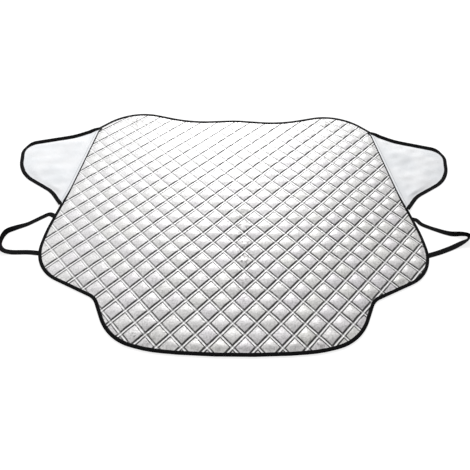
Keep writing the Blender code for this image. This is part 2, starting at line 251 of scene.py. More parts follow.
class TapeSettings(bpy.types.PropertyGroup):
    """Sizes of the folded tapes."""

    width: length("Panel Tape Width", "Visible width of the panel's tape", 0.0124)
    thickness: length("Panel Tape Thickness", "One layer of the panel's tape", 0.0006)
    flap_width: length("Flap Tape Width", "Visible width of the flaps' tape", 0.0160)
    flap_thickness: length("Flap Tape Thickness", "One layer of the flaps' tape", 0.0005)
    step: length("Step", "Longest step along a tape", 0.0060)
    colour: colour("Tape", "Woven tape", (0.003, 0.003, 0.0035))


class FlapSettings(bpy.types.PropertyGroup):
    """Sizes of the door flaps."""

    thickness: length("Cloth Thickness", "One layer of the flap's cloth", 0.0006)
    lap: length("Lap", "How far the inner hem lies inside the panel's edge", 0.0090)
    foot_lap: length("Foot Lap", "The same at the flap's foot", 0.0050)
    lap_growth: length("Lap Growth", "Height over which the lap widens from the foot", 0.0800)
    hem_inset: length("Hem Inset", "How far the inner hem stops short of foot and head", 0.0200)
    hem_fold: length("Hem Fold", "Width of the folded inner hem", 0.0095)
    lift: length("Lift", "How high the flap lies on the panel's tape", 0.0046)
    ramp_start: length("Ramp Start", "From the panel's edge, where the flap starts down", 0.0020)
    ramp_end: length("Ramp End", "From the panel's edge, where it reaches the floor", 0.0250)
    wave_rise: length("Wave Rise", "Height of the soft waves in the cloth", 0.0070)
    curl: length("Curl", "How far the tape's far edge curls up", 0.0065)
    cloth: colour("Cloth", "Thin pale cloth", (0.900, 0.908, 0.925))


class StrapSettings(bpy.types.PropertyGroup):
    """Sizes of the mirror straps."""

    width: length("Strap Width", "Width of the webbing", 0.0200)
    thickness: length("Strap Thickness", "Thickness of the webbing", 0.0012)
    tuck: length("Tuck", "Length of strap under the hem", 0.0140)
    rib_depth: length("Rib Depth", "Depth of the grooves between ribs", 0.0002)
    colour: colour("Webbing", "Woven webbing", (0.003, 0.003, 0.0035))


class ThreadSettings(bpy.types.PropertyGroup):
    """Sizes of the sewing thread."""

    quilt_stitch: length("Quilting Stitch", "From one quilting stitch to the next", 0.0045)
    tape_stitch: length("Tape Stitch", "From one stitch to the next along a tape", 0.0035)
    width: length("Thread Width", "Thickness of the thread", 0.0007)
    quilting: colour("Quilting Thread", "Thread of the diamonds", (0.02, 0.02, 0.021))
    black: colour("Tape Thread", "Thread along the tapes", (0.016, 0.016, 0.017))
    pale: colour("Hem Thread", "Thread along the flaps' hems", (0.30, 0.31, 0.33))


class StudioSettings(bpy.types.PropertyGroup):
    """Light, floor and camera."""

    key: bpy.props.FloatProperty(
        name="Key Power", description="Soft light from beyond the roof edge", default=700, min=0, unit="POWER"
    )
    fill: bpy.props.FloatProperty(
        name="Fill Power", description="Weaker light from the left", default=16, min=0, unit="POWER"
    )
    ambient: bpy.props.FloatProperty(
        name="Ambient", description="Light from all around", default=0.30, min=0
    )
    focal_pixels: bpy.props.FloatProperty(
        name="Focal Length", description="In pixels of a picture 470 wide", default=356.83, min=1
    )


class CoverSettings(bpy.types.PropertyGroup):
    """All the settings of the cover."""

    quilt: bpy.props.PointerProperty(type=QuiltSettings)
    tape: bpy.props.PointerProperty(type=TapeSettings)
    flap: bpy.props.PointerProperty(type=FlapSettings)
    strap: bpy.props.PointerProperty(type=StrapSettings)
    thread: bpy.props.PointerProperty(type=ThreadSettings)
    studio: bpy.props.PointerProperty(type=StudioSettings)


def settings():
    return bpy.context.scene.windscreen_cover


# Outlines

def rounded(corners, closed=True):
    """The line through these corners, each one rounded by its own radius."""
    points = []
    for index, (x, y, radius) in enumerate(corners):
        corner = Vector((x, y))
        if not closed and index in (0, len(corners) - 1):
            points.append(corner)
            continue
        before = (Vector(corners[index - 1][:2]) - corner).normalized()
        after = (Vector(corners[(index + 1) % len(corners)][:2]) - corner).normalized()
        turn = math.pi - before.angle(after)
        centre = corner + (before + after).normalized() * radius / math.cos(turn / 2)
        start = corner + before * radius * math.tan(turn / 2) - centre
        side = -math.copysign(1, before.cross(after))
        steps = max(1, round(turn / ARC_STEP))
        for step in range(steps + 1):
            arm = start.copy()
            arm.rotate(Matrix.Rotation(side * turn * step / steps, 2))
            points.append(centre + arm)
    return np.array(points)


def split(points, longest, closed=True):
    """The same line with no step longer than this."""
    after = np.roll(points, -1, axis=0) if closed else points[1:]
    dense = []
    for here, there in zip(points, after):
        pieces = math.ceil(np.linalg.norm(there - here) / longest)
        dense += [here + (there - here) * piece / pieces for piece in range(pieces)]
    return np.array(dense if closed else [*dense, points[-1]])


def inward_normals(points, closed=True):
    """At each point, the way to the line's left, long enough to keep an inset line parallel."""
    arriving = points - np.roll(points, 1, axis=0)
    leaving = np.roll(points, -1, axis=0) - points
    if not closed:
        arriving[0], leaving[-1] = leaving[0], arriving[-1]
    arriving /= np.linalg.norm(arriving, axis=1)[:, None]
    leaving /= np.linalg.norm(leaving, axis=1)[:, None]
    along = arriving + leaving
    along /= np.linalg.norm(along, axis=1)[:, None]
    normals = np.stack([-along[:, 1], along[:, 0]], axis=1)
    return normals / (along * arriving).sum(axis=1)[:, None]


def panel_outline(longest=0.01):
    """The outer edge of the panel's tape, anticlockwise, in the frame's own place."""
    left = [(-x, y, radius) for x, y, radius in reversed(PANEL_CORNERS)]
    middle = (0, PANEL_CORNERS[-1][1] + ROOF_RISE, ROOF_ROUND)
    line = split(rounded([*PANEL_CORNERS, middle, *left]), longest)
    return line - (0, HALF_DEPTH)


def edge_across(up, outline):
    """How far the panel's right edge lies from the middle line, at this height above the lower hem."""
    right = outline[outline[:, 0] > 0]
    side = right[: right[:, 1].argmax() + 1]
    return float(np.interp(up - HALF_DEPTH, side[:, 1], side[:, 0]))


def beyond_edge(reach, up, outline):
    """The point at this height that lies this far outside the panel's right edge."""
    return np.array((edge_across(up, outline) + reach, up - HALF_DEPTH))


def nearest_on(points, outline):
    """How far inside an anticlockwise outline each point lies, and the outline's nearest point and normal."""
    starts, ends = outline, np.roll(outline, -1, axis=0)
    best = np.full(len(points), np.inf)
    nearest, normal = np.zeros_like(points), np.zeros_like(points)
    inside = np.zeros(len(points), bool)
    for start, end in zip(starts, ends):
        edge = end - start
        along = np.clip((points - start) @ edge / (edge @ edge), 0, 1)
        foot = start + along[:, None] * edge
        away = ((points - foot) ** 2).sum(axis=1)
        closer = away < best
        best[closer], nearest[closer] = away[closer], foot[closer]
        normal[closer] = np.array((-edge[1], edge[0])) / np.linalg.norm(edge)
        crossed = (start[1] > points[:, 1]) != (end[1] > points[:, 1])
        if crossed.any():
            meets = start[0] + (points[:, 1] - start[1]) * edge[0] / edge[1]
            inside ^= crossed & (meets > points[:, 0])
    return np.where(inside, 1, -1) * np.sqrt(best), nearest, normal


def smoothed(controls, count):
    """A smooth line through control points of any dimension, with this many steps between two of them."""
    ends = [2 * controls[0] - controls[1], *controls, 2 * controls[-1] - controls[-2]]
    t = np.arange(count)[:, None] / count
    line = [
        here * (2 * t**3 - 3 * t**2 + 1)
        + (there - before) / 2 * (t**3 - 2 * t**2 + t)
        + there * (3 * t**2 - 2 * t**3)
        + (after - here) / 2 * (t**3 - t**2)
        for before, here, there, after in zip(ends, ends[1:], ends[2:], ends[3:])
    ]
    return np.concatenate([*line, controls[-1:]])


def smoothstep(values, low, high):
    """0 up to the low value, 1 from the high one, and smooth between them."""
    t = np.clip((values - low) / (high - low), 0, 1)
    return t * t * (3 - 2 * t)


def wander(points, wavelength, seed):
    """A smooth wandering value from -1 to 1 for each point, the same at each run."""
    rng = np.random.default_rng(seed)
    total = np.zeros(len(points))
    for _ in range(6):
        angle, phase = rng.uniform(0, 2 * math.pi, 2)
        wave = rng.uniform(0.7, 1.5) * 2 * math.pi / wavelength
        total += np.sin(points @ (wave * math.cos(angle), wave * math.sin(angle)) + phase)
    return total / 6


# Meshes

def mesh_object(name, mesh):
    made = bpy.data.objects.new(name, mesh)
    bpy.context.scene.collection.objects.link(made)
    return made


def set_smooth(mesh):
    mesh.polygons.foreach_set("use_smooth", np.ones(len(mesh.polygons), bool))


def put_attribute(mesh, name, kind, domain, values):
    layer = mesh.attributes.new(name, kind, domain)
    field = "vector" if kind == "FLOAT_VECTOR" else "value"
    layer.data.foreach_set(field, np.asarray(values).ravel())


def mark_rows(mesh, name, chosen):
    """Marks the edges that join two chosen vertices, as a row for a needle."""
    ends = np.empty(2 * len(mesh.edges), int)
    mesh.edges.foreach_get("vertices", ends)
    put_attribute(mesh, name, "BOOLEAN", "EDGE", np.asarray(chosen)[ends.reshape(-1, 2)].all(axis=1))


def face_outwards(mesh):
    shape = bmesh.new()
    shape.from_mesh(mesh)
    bmesh.ops.recalc_face_normals(shape, faces=shape.faces)
    shape.to_mesh(mesh)
    shape.free()


def skin(name, sections, closed):
    """A closed skin through closed sections, with its UV map in metres, along and around."""
    sections = np.asarray(sections, float)
    count, around = sections.shape[:2]
    ring = np.concatenate([sections, sections[:1]]) if closed else sections
    middles = ring.mean(axis=1)
    along = np.concatenate([[0], np.cumsum(np.linalg.norm(np.diff(middles, axis=0), axis=1))])
    loop = np.concatenate([sections, sections[:, :1]], axis=1)
    across = np.concatenate([[0], np.cumsum(np.linalg.norm(np.diff(loop, axis=1), axis=2).mean(axis=0))])
    faces, places = [], []
    for i in range(len(ring) - 1):
        here, there = i * around, (i + 1) % count * around
        for j in range(around):
            k = (j + 1) % around
            faces.append((here + j, here + k, there + k, there + j))
            places += [(along[i], across[j]), (along[i], across[j + 1])]
            places += [(along[i + 1], across[j + 1]), (along[i + 1], across[j])]
    if not closed:
        for start, u in ((0, along[0]), ((count - 1) * around, along[-1])):
            faces.append(tuple(range(start, start + around)))
            places += [(u, v) for v in across[:-1]]
    mesh = bpy.data.meshes.new(name)
    mesh.from_pydata(sections.reshape(-1, 3).tolist(), [], faces)
    mesh.uv_layers.new(name="UVMap").data.foreach_set("uv", np.array(places).ravel())
    face_outwards(mesh)
    set_smooth(mesh)
    return mesh_object(name, mesh)


def tape_section(width, height, thickness):
    """A tape folded to a U, open on its inner side, as (in from its outer edge, up) points."""
    bend = height / 2
    fold = [
        (bend - bend * math.sin(a), bend - bend * math.cos(a))
        for a in np.radians((0, 30, 60, 90, 120, 150, 180))
    ]
    lip = thickness * 0.3
    outer = [(width, lip), (width - lip, 0), (width * 0.6, 0), *fold]
    outer += [(width * 0.5, height), (width - NEEDLE_INSET, height), (width - lip, height - lip / 2)]
    inner = [
        (width, height - thickness + lip),
        (width - lip, height - thickness),
        (width * 0.5, height - thickness),
        (bend, height - thickness),
        (thickness, bend),
        (bend, thickness),
        (width * 0.6, thickness),
        (width, thickness),
    ]
    return np.array(outer + inner)


# Node trees

class Graph:
    """Adds nodes to a tree and joins them in few words."""

    def __init__(self, tree):
        self.tree = tree

    def feed(self, socket, value):
        if isinstance(value, bpy.types.NodeSocket):
            self.tree.links.new(value, socket)
        else:
            socket.default_value = value

    def node(self, kind, inputs=(), **choices):
        made = self.tree.nodes.new(kind)
        for name, value in choices.items():
            setattr(made, name, value)
        for key, value in dict(inputs).items():
            self.feed(made.inputs[key], value)
        return made

    def math(self, operation, *values, clamp=False):
        made = self.node("ShaderNodeMath", enumerate(values), operation=operation, use_clamp=clamp)
        return made.outputs[0]

    def times(self, a, b):
        return self.math("MULTIPLY", a, b)

    def vector(self, x=0.0, y=0.0, z=0.0):
        return self.node("ShaderNodeCombineXYZ", enumerate((x, y, z))).outputs[0]

    def parts(self, vector):
        return self.node("ShaderNodeSeparateXYZ", {0: vector}).outputs

    def field(self, parts, slopes):
        """A value that has one size at the origin, and grows by so much for each metre across and up."""
        everywhere, across, up = slopes
        grown = self.math("MULTIPLY_ADD", parts[0], across, everywhere)
        return self.math("MULTIPLY_ADD", parts[1], up, grown)

    def place(self):
        return self.node("ShaderNodeTexCoord").outputs["Object"]

    def attribute(self, name, output="Fac"):
        return self.node("ShaderNodeAttribute", attribute_name=name).outputs[output]

    def chance(self, cells, seed):
        """Three values by chance for each cell of the lattice."""
        inputs = {"Vector": self.vector(*cells, seed)}
        made = self.node("ShaderNodeTexWhiteNoise", inputs, noise_dimensions="3D")
        return self.parts(made.outputs["Color"])

    def ramp(self, value, low, high, to_low=0.0, to_high=1.0):
        inputs = enumerate((value, low, high, to_low, to_high))
        return self.node("ShaderNodeMapRange", inputs, interpolation_type="SMOOTHSTEP").outputs[0]

    def noise(self, vector, scale, detail=2.0):
        inputs = {"Vector": vector, "Scale": scale, "Detail": detail}
        return self.node("ShaderNodeTexNoise", inputs, noise_dimensions="3D").outputs[0]

    def mix(self, factor, a, b, blend="MIX"):
        inputs = {0: factor, 6: a, 7: b}
        return self.node("ShaderNodeMix", inputs, data_type="RGBA", blend_type=blend).outputs[2]

    def darken(self, tone, mask, shade, depth=1.0):
        """The tone, multiplied by a shade as far as the mask and the depth say."""
        factor = mask if depth == 1.0 else self.times(mask, depth)
        return self.mix(factor, tone, (*shade, 1), "MULTIPLY")

    def coat(self, shape, finish, **inputs):
        """Sets the material of a geometry node's result."""
        inputs |= {"Geometry": shape.outputs[0], "Material": finish}
        return self.node("GeometryNodeSetMaterial", inputs)

    def group(self, tree, **inputs):
        return self.node("ShaderNodeGroup", inputs, node_tree=tree).outputs


def new_tree(name, kind, inputs, outputs):
    """A node tree with these named sockets. Gives its graph, its group input and its group output."""
    tree = bpy.data.node_groups.new(name, kind)
    for in_out, sockets in (("INPUT", inputs), ("OUTPUT", outputs)):
        for label, value_type in sockets.items():
            tree.interface.new_socket(name=label, in_out=in_out, socket_type="NodeSocket" + value_type)
    graph = Graph(tree)
    return graph, graph.node("NodeGroupInput").outputs, graph.node("NodeGroupOutput").inputs


def lattice_parts(graph, lattice, pitch, gap):
    """For each direction of seams: the place on the lattice, how far off the seam, how far into the cell."""
    parts = graph.parts(lattice)
    half, needle = graph.times(pitch, 0.5), graph.times(gap, 0.5)
    room = graph.math("SUBTRACT", half, needle)
    found = []
    for axis in (0, 1):
        away = graph.math("PINGPONG", parts[axis], half)
        into = graph.math("DIVIDE", graph.math("SUBTRACT", away, needle), room, clamp=True)
        found.append((parts[axis], away, into))
    return found, needle, parts[2]


def quilting_tree():
    """Raises a flat panel into diamonds between double needle lines, pinched down to a thin hem."""
    sizes = (
        "Stitch Pitch", "Needle Gap", "Seam Height", "Puff Rise", "Channel Rise",
        "Wave Rise", "Crumple Rise", "Hem Height", "Hem Width", "Pinch Width", "Seed",
    )
    inputs = {"Geometry": "Geometry", **dict.fromkeys(sizes, "Float")}
    inputs |= {"Film": "Material", "Backing": "Material"}
    graph, given, out = new_tree("diamond_quilting", "GeometryNodeTree", inputs, {"Geometry": "Geometry"})

    def named(name, kind):
        made = graph.node("GeometryNodeInputNamedAttribute", {"Name": name}, data_type=kind)
        return made.outputs["Attribute"]

    pitch = given["Stitch Pitch"]
    lattice = named("lattice", "FLOAT_VECTOR")
    axes, needle, hem_away = lattice_parts(graph, lattice, pitch, given["Needle Gap"])
    crowns, steps, ridges, opens, cells, offsets = [], [], [], [], [], []
    for place, away, into in axes:
        left = graph.math("SUBTRACT", 1.0, into)
        crowns.append(graph.math("SUBTRACT", 1.0, graph.math("POWER", left, CROWN[0])))
        steps.append(graph.math("SUBTRACT", 1.0, graph.math("POWER", left, STEP[0])))
        off = graph.math("DIVIDE", away, needle, clamp=True)
        ridges.append(graph.math("SUBTRACT", 1.0, graph.times(off, off)))
        opens.append(graph.math("MULTIPLY", into, CHANNEL_OPENS, clamp=True))
        cell = graph.math("FLOOR", graph.math("DIVIDE", place, pitch))
        cells.append(cell)
        centre = graph.times(graph.math("ADD", cell, 0.5), pitch)
        offsets.append(graph.math("DIVIDE", graph.math("SUBTRACT", place, centre), pitch))

    chances = graph.chance(cells, given["Seed"])
    crown = graph.times(graph.times(*crowns), CROWN[1])
    crown = graph.math("MULTIPLY_ADD", graph.times(*steps), STEP[1], crown)
    puff = graph.times(crown, graph.math("MULTIPLY_ADD", chances[0], ADDED_PUFF, LEAST_PUFF))
    leans = [
        graph.times(graph.math("SUBTRACT", chance, 0.5), offset)
        for chance, offset in zip((chances[1], chances[2]), offsets)
    ]
    tilt = graph.times(graph.math("ADD", *leans), TILT)
    puff = graph.math("ADD", puff, graph.times(tilt, crown))
    place = graph.parts(graph.node("GeometryNodeInputPosition").outputs[0])
    puff = graph.times(puff, graph.field(place, FULLNESS))
    ridge = graph.math("MAXIMUM", graph.times(ridges[0], opens[1]), graph.times(ridges[1], opens[0]))

    flat = graph.vector(place[0], place[1], given["Seed"])
    wave = graph.noise(flat, *LIE_NOISE)
    dent = graph.math("SUBTRACT", graph.noise(flat, *PACKING_NOISE), 0.5)
    dimple = graph.math("SUBTRACT", graph.noise(flat, *DIMPLE_NOISE), 0.5)
    height = graph.math("MULTIPLY_ADD", puff, given["Puff Rise"], given["Seam Height"])
    height = graph.math("MULTIPLY_ADD", ridge, given["Channel Rise"], height)
    height = graph.math("MULTIPLY_ADD", wave, given["Wave Rise"], height)
    height = graph.math("MULTIPLY_ADD", graph.times(dimple, crown), DIMPLE_RISE, height)
    folds = graph.times(graph.times(named("crumple", "FLOAT"), dent), given["Crumple Rise"])
    height = graph.math("MULTIPLY_ADD", folds, 2.0, height)  # a dent is half a rise deep
    height = graph.math("MAXIMUM", height, LOWEST_FILM)
    inner = graph.math("ADD", given["Hem Width"], given["Pinch Width"])
    pinch = graph.ramp(hem_away, given["Hem Width"], inner)
    rise = graph.times(graph.math("SUBTRACT", height, given["Hem Height"]), pinch)
    top = graph.vector(place[0], place[1], graph.math("ADD", given["Hem Height"], rise))

    raised = {"Geometry": given["Geometry"], "Selection": named("top", "BOOLEAN"), "Position": top}
    moved = graph.node("GeometryNodeSetPosition", raised)
    realized = graph.node("GeometryNodeRealizeInstances", {"Geometry": moved.outputs[0]})
    filmed = graph.coat(realized, given["Film"])
    backed = graph.coat(filmed, given["Backing"], Selection=named("underside", "BOOLEAN"))
    graph.feed(out["Geometry"], backed.outputs[0])
    return graph.tree


def stitching_tree():
    """Lays a stitch at each step along the edges that are marked as rows for a needle."""
    inputs = {
        "Geometry": "Geometry", "Rows": "String", "Stitch Length": "Float",
        "Thread Width": "Float", "Seed": "Int", "Thread": "Material",
    }
    graph, given, out = new_tree("needle_stitches", "GeometryNodeTree", inputs, {"Geometry": "Geometry"})
    rows = graph.node("GeometryNodeInputNamedAttribute", {"Name": given["Rows"]}, data_type="BOOLEAN")
    chosen = {"Mesh": given["Geometry"], "Selection": rows.outputs["Attribute"]}
    line = graph.node("GeometryNodeMeshToCurve", chosen)
    steps = {"Curve": line.outputs[0], "Length": given["Stitch Length"]}
    spaced = graph.node("GeometryNodeResampleCurve", steps, mode="LENGTH")
    stitch = graph.node("GeometryNodeMeshUVSphere", {"Segments": 4, "Rings": 2, "Radius": 1.0})
    tangent = graph.node("GeometryNodeInputTangent")
    facing = graph.node("FunctionNodeAlignRotationToVector", {"Vector": tangent.outputs[0]}, axis="Z")
    vary = graph.node("FunctionNodeRandomValue", {"Seed": given["Seed"]}, data_type="FLOAT")
    vary.inputs[2].default_value, vary.inputs[3].default_value = STITCH_SHARES
    half = graph.times(given["Thread Width"], 0.5)
    reach = graph.times(given["Stitch Length"], vary.outputs[1])
    laid = {
        "Points": spaced.outputs[0],
        "Instance": stitch.outputs[0],
        "Rotation": facing.outputs[0],
        "Scale": graph.vector(half, half, reach),
    }
    placed = graph.node("GeometryNodeInstanceOnPoints", laid)
    up = graph.vector(0.0, 0.0, graph.times(half, 0.5))
    inputs = {"Instances": placed.outputs[0], "Translation": up, "Local Space": False}
    lifted = graph.node("GeometryNodeTranslateInstances", inputs)
    realized = graph.node("GeometryNodeRealizeInstances", {"Geometry": lifted.outputs[0]})
    graph.feed(out["Geometry"], graph.coat(realized, given["Thread"]).outputs[0])
    return graph.tree


def apply_tree(obj, tree, values):
    """Runs a geometry tree on an object with these inputs, and leaves the plain mesh that it makes."""
    modifier = obj.modifiers.new(tree.name, "NODES")
    modifier.node_group = tree
    for item in tree.interface.items_tree:
        if item.in_out == "INPUT" and item.name in values:
            modifier[item.identifier] = values[item.name]
    graph = bpy.context.evaluated_depsgraph_get()
    shaped = obj.evaluated_get(graph)
    mesh = bpy.data.meshes.new_from_object(shaped, preserve_all_data_layers=True, depsgraph=graph)
    obj.modifiers.clear()
    obj.data = mesh
    if not mesh.polygons:
        raise RuntimeError(f"{obj.name}: {tree.name} made no faces")


# Materials

def crinkle_group():
    """Fine creases of thin film or coated cloth."""
    inputs = {"Vector": "Vector", "Scale": "Float", "Depth": "Float"}
    graph, given, out = new_tree("crinkle", "ShaderNodeTree", inputs, {"Height": "Float", "Shade": "Float"})
    noise = graph.noise(given["Vector"], given["Scale"], 4.0)
    coarser = {"Vector": given["Vector"], "Scale": graph.times(given["Scale"], 0.7)}
    facets = graph.node("ShaderNodeTexVoronoi", coarser).outputs["Distance"]
    height = graph.math("ADD", noise, graph.times(facets, 0.5))
    graph.feed(out["Height"], graph.times(height, given["Depth"]))
    graph.feed(out["Shade"], graph.ramp(noise, 0.32, 0.68))
    return graph.tree


def weave_group():
    """Over and under threads of a plain weave, and how deep between them a place lies."""
    inputs = {"Vector": "Vector", "Along": "Float", "Across": "Float"}
    graph, given, out = new_tree("weave", "ShaderNodeTree", inputs, {"Height": "Float", "Shade": "Float"})
    parts = graph.parts(given["Vector"])
    warp, weft = (
        graph.math("SINE", graph.times(parts[axis], graph.times(given[name], 2 * math.pi)))
        for axis, name in ((0, "Along"), (1, "Across"))
    )
    height = graph.math("ADD", graph.math("ABSOLUTE", warp), graph.math("ABSOLUTE", weft))
    graph.feed(out["Height"], height)
    graph.feed(out["Shade"], graph.ramp(height, 0.2, 1.4))
    return graph.tree


def new_material(name, **values):
    """A material whose Principled BSDF has these plain values. Gives it with its graph and shader."""
    made = bpy.data.materials.new(name)
    made.use_nodes = True
    shader = made.node_tree.nodes["Principled BSDF"]
    for key, value in values.items():
        plain = (*value, 1) if isinstance(value, tuple) else value
        shader.inputs[key.replace("_", " ")].default_value = plain
    return made, Graph(made.node_tree), shader


def bumped(graph, shader, height, distance, strength=1.0):
    made = graph.node("ShaderNodeBump", {"Height": height, "Distance": distance, "Strength": strength})
    graph.feed(shader.inputs["Normal"], made.outputs[0])


def film_seams(graph, quilt, axes, needle, shade_fields, shade_breaks):
    """Masks beside the seams: painted shade in the creases, puckers, and painted light on the channels
    between two needles.
    """
    creases, puckers, channels = [], [], []
    # How much of the crease's painted shade shows at a diamond's upper edge, after the first shade field
    upper_crease_shade = graph.math("MULTIPLY_ADD", shade_fields[0], 1.3, 0.1, clamp=True)
    for index, (along, away, _) in enumerate(axes):
        crossing = graph.ramp(axes[1 - index][1], *CROSSING_REACH, CROSSINGS[index], 1.0)
        strength = graph.times(crossing, graph.math("MULTIPLY", shade_fields[index], shade_breaks, clamp=True))
        # Painted light on the raised channel between the two needles
        channels.append(graph.ramp(away, *CHANNEL_EDGE, 1.0, 0.0))
        # The crease's painted shade on each side of the needle lines
        signed = graph.math("WRAP", along, quilt.pitch / 2, -quilt.pitch / 2)
        edges = []
        for way, (dark, faded) in zip((1.0, -1.0), CREASES[index]):
            into = graph.math("SUBTRACT", graph.times(signed, way), needle)
            near = graph.ramp(into, *CREASE_START)
            edges.append(graph.times(near, graph.ramp(into, dark, faded, 1.0, 0.0)))
        edges[1] = graph.times(edges[1], upper_crease_shade)
        creases.append(graph.times(graph.math("MAXIMUM", *edges), strength))
        off = graph.math("ABSOLUTE", graph.math("SUBTRACT", away, needle))
        beside = graph.ramp(off, 0.0, PUCKER_REACH, 1.0, 0.0)
        scales = PUCKER_SCALES if index == 0 else PUCKER_SCALES[::-1]
        stretched = [graph.times(axis[0], scale) for axis, scale in zip(axes, scales)]
        puckers.append(graph.times(beside, graph.noise(graph.vector(*stretched, index), 1.0, 1.0)))
    crease, channel = graph.math("MAXIMUM", *creases), graph.math("MAXIMUM", *channels)
    return crease, graph.math("ADD", *puckers), channel


def film_material(quilt, crinkle):
    """Aluminised film: crinkled, creased and puckered at its seams, a little different in each diamond, with
    painted shade in its creases, at each diamond's foot and in its packing creases, and painted light on its
    channels.
    """
    made, graph, shader = new_material("silver_film", Metallic=0.25, IOR=1.5)
    lattice = graph.attribute("lattice", "Vector")
    axes, needle, _ = lattice_parts(graph, lattice, quilt.pitch, quilt.needle_gap)
    place = graph.place()
    parts = graph.parts(place)
    # Noise that breaks up the crease's painted shade
    shade_breaks = graph.ramp(graph.noise(place, FILM_SCALES["shade_breaks"], 1.0), 0.30, 0.55, 0.55, 1.0)
    # How strong the painted shade is over the panel, for the seams of each direction
    shade_fields = [
        graph.math("MAXIMUM", graph.math("MINIMUM", graph.field(parts, slopes), DEEPEST_SHADE), FAINTEST_SHADE)
        for slopes in SHADE_FIELDS
    ]
    crease, pucker, channel = film_seams(graph, quilt, axes, needle, shade_fields, shade_breaks)
    grain = graph.group(crinkle, Vector=place, Scale=FILM_SCALES["grain"], Depth=1.0)

    # The tint and tone of each diamond
    shares = [graph.math("DIVIDE", axis[0], quilt.pitch) for axis in axes]
    chances = graph.chance([graph.math("FLOOR", share) for share in shares], TINT_SEED)
    tint = graph.mix(chances[0], (1.0, 0.966, 0.995, 1), (0.99, 0.982, 0.945, 1))
    tinted = graph.math("MULTIPLY_ADD", shade_fields[0], 0.5, 0.3, clamp=True)
    tone = graph.mix(tinted, (*quilt.film, 1), tint, "MULTIPLY")
    tone = graph.mix(graph.times(chances[1], FILM_DEPTHS["dulled"]), tone, (0.35, 0.35, 0.36, 1))

    # Soft patches, the fine grain, crosshatch streaks, faded to paint the film lighter where the shade field
    # is weak, and painted shade in the packing creases
    patch = graph.ramp(graph.noise(place, FILM_SCALES["patch"], 1.0), 0.35, 0.65)
    tone = graph.darken(tone, patch, (0.75, 0.72, 0.68), FILM_DEPTHS["patch"])
    tone = graph.darken(tone, grain["Shade"], (0.35, 0.35, 0.35), FILM_DEPTHS["grain"])
    streaks = [
        graph.noise(graph.vector(graph.times(parts[0], wide), graph.times(parts[1], tall)), 1.0)
        for wide, tall in (STREAK_SCALES, STREAK_SCALES[::-1])
    ]
    # The streaks fade where the first shade field is weak, painting the film lighter there
    streaks_by_shade_field = graph.math("MULTIPLY_ADD", shade_fields[0], 0.8, 0.2, clamp=True)
    streak = graph.times(graph.ramp(graph.math("MAXIMUM", *streaks), 0.48, 0.68), streaks_by_shade_field)
    tone = graph.darken(tone, streak, (0.3, 0.3, 0.3), FILM_DEPTHS["streak"])
    # Painted shade in the packing creases
    packing = graph.ramp(graph.noise(place, FILM_SCALES["packing"], 2.0), 0.50, 0.62)
    tone = graph.darken(tone, graph.times(graph.attribute("crumple"), packing), (0.32, 0.31, 0.30))

    # Painted shade at each diamond's foot, painted light on the pale channels and painted shade in the dark
    # creases
    rises = [graph.math("FRACT", share) for share in shares]
    # Painted shade on each diamond's lower side, which faces away from the light, deeper where the first
    # shade field is
    foot = graph.ramp(graph.math("ADD", *rises), 0.15, 1.15, 1.0, 0.0)
    foot = graph.math("MULTIPLY", foot, shade_fields[0], clamp=True)
    tone = graph.darken(tone, foot, (0.25, 0.25, 0.25), FILM_DEPTHS["foot"])
    # Painted light on the pale channels
    tone = graph.mix(graph.times(channel, FILM_DEPTHS["channel"]), tone, (0.97, 0.97, 0.97, 1))
    # Painted shade in the needle lines' creases
    tone = graph.darken(tone, crease, (0.03, 0.03, 0.03))
    graph.feed(shader.inputs["Base Color"], tone)
    graph.feed(shader.inputs["Roughness"], graph.math("MULTIPLY_ADD", grain["Shade"], 0.12, 0.42))
    height = graph.math("MULTIPLY_ADD", pucker, PUCKER_DEPTH, grain["Height"])
    bumped(graph, shader, height, 0.0006, 0.8)
    return made


def backing_material(quilt, weave):
    """Plain cloth of the underside."""
    made, graph, shader = new_material("quilt_backing", Roughness=0.9)
    threads = graph.group(weave, Vector=graph.place(), Along=700.0, Across=700.0)
    tone = graph.darken((*quilt.backing, 1), threads["Shade"], (0.5, 0.5, 0.5), 0.3)
    graph.feed(shader.inputs["Base Color"], tone)
    bumped(graph, shader, threads["Height"], 0.0001)
    return made


def woven_material(name, base, weave, along, across, roughness):
    """Black woven tape or webbing, its UV map in metres."""
    made, graph, shader = new_material(name, Specular_IOR_Level=0.05, Sheen_Weight=0.005, Sheen_Roughness=0.5)
    place = graph.node("ShaderNodeUVMap", uv_map="UVMap").outputs[0]
    threads = graph.group(weave, Vector=place, Along=along, Across=across)
    fuzz = graph.noise(graph.place(), 900.0, 2.0)
    tone = graph.mix(graph.times(fuzz, 0.25), (*base, 1), (0.012, 0.012, 0.013, 1))
    tone = graph.darken(tone, graph.math("SUBTRACT", 1.0, threads["Shade"]), (0.3, 0.3, 0.3))
    graph.feed(shader.inputs["Base Color"], tone)
    graph.feed(shader.inputs["Roughness"], graph.math("MULTIPLY_ADD", fuzz, 0.15, roughness))
    bumped(graph, shader, threads["Height"], 0.0002)
    return made


